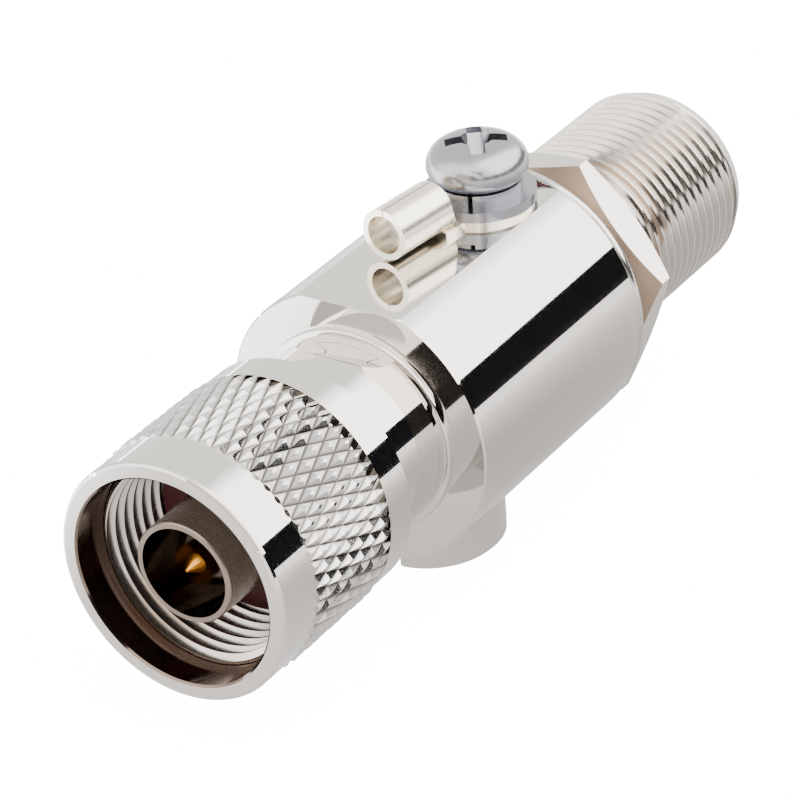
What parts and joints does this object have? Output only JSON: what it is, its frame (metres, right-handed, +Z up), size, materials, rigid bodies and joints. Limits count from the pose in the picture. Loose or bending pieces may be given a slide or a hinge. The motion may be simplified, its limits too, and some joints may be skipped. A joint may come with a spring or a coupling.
{
  "type": "coax lightning arrestor",
  "caption": "In-line coaxial lightning arrestor: knurled screw-on plug, round body with a replaceable gas tube and a ground lug, threaded jack with a hex flange.",
  "frame": {"origin": "centre of the plug's outer contact at its open end, the plane where it meets a jack", "axes": "+X along the line from the plug to the jack, +Z up through the ground screw"},
  "size_m": [0.069, 0.0242, 0.0294],
  "materials": {
    "nickel": "bright nickel plate on turned brass",
    "gold_plate": "gold plate",
    "spring_bronze": "plain spring bronze",
    "silver_plate": "silver plate on copper sheet",
    "steel": "zinc plated steel",
    "red_silicone": "smooth moulded silicone rubber",
    "ptfe": "machined PTFE",
    "tube_ceramic": "glazed alumina"
  },
  "bodies": {
    "arrestor": {"main_body": "nickel", "plug_body": "nickel", "neck_ring": "nickel", "retaining_ring": "spring_bronze", "plug_gasket": "red_silicone", "plug_insulator": "ptfe", "plug_pin": "gold_plate", "centre_conductor": "gold_plate", "jack_body": "nickel", "jack_gasket": "red_silicone", "panel_gasket": "red_silicone", "jack_insulator": "ptfe", "jack_socket": "gold_plate"},
    "nut": {"coupling_nut": "nickel"},
    "tube": {"tube_ceramic": "tube_ceramic", "upper_electrode": "steel", "lower_electrode": "steel", "contact_spring": "spring_bronze", "cap_seal": "red_silicone"},
    "cap": {"gas_tube_cap": "nickel"},
    "washers": {"lock_washer": "steel", "flat_washer": "steel"},
    "screw": {"ground_screw": "steel"},
    "lug": {"ground_lug": "silver_plate"}
  },
  "joints": [
    {"name": "nut_turn", "type": "hinge", "parent": "arrestor", "child": "nut", "pos_m": [0, 0, 0], "axis": [-1, 0, 0], "continuous": true},
    {"name": "tube_draw", "type": "slide", "parent": "arrestor", "child": "tube", "axis": [0, 0, -1], "range_m": [0, 0.003]},
    {"name": "cap_turn", "type": "hinge", "parent": "tube", "child": "cap", "pos_m": [0.03075, 0, -0.011], "axis": [0, 0, -1], "range_deg": [0, 1080]},
    {"name": "screw_rise", "type": "slide", "parent": "arrestor", "child": "washers", "axis": [0, 0, 1], "range_m": [0, 0.0035]},
    {"name": "screw_turn", "type": "hinge", "parent": "washers", "child": "screw", "pos_m": [0.0402, 0, 0.012], "axis": [0, 0, 1], "range_deg": [0, 1800]},
    {"name": "lug_swivel", "type": "hinge", "parent": "arrestor", "child": "lug", "pos_m": [0.0402, 0, 0.0104], "axis": [0, 0, 1], "range_deg": [-100, 100]}
  ],
  "couplings": [
    {"joint": "cap_turn", "follows": "tube_draw", "rad_per_m": 6283.2},
    {"joint": "screw_turn", "follows": "screw_rise", "rad_per_m": 8976}
  ]
}
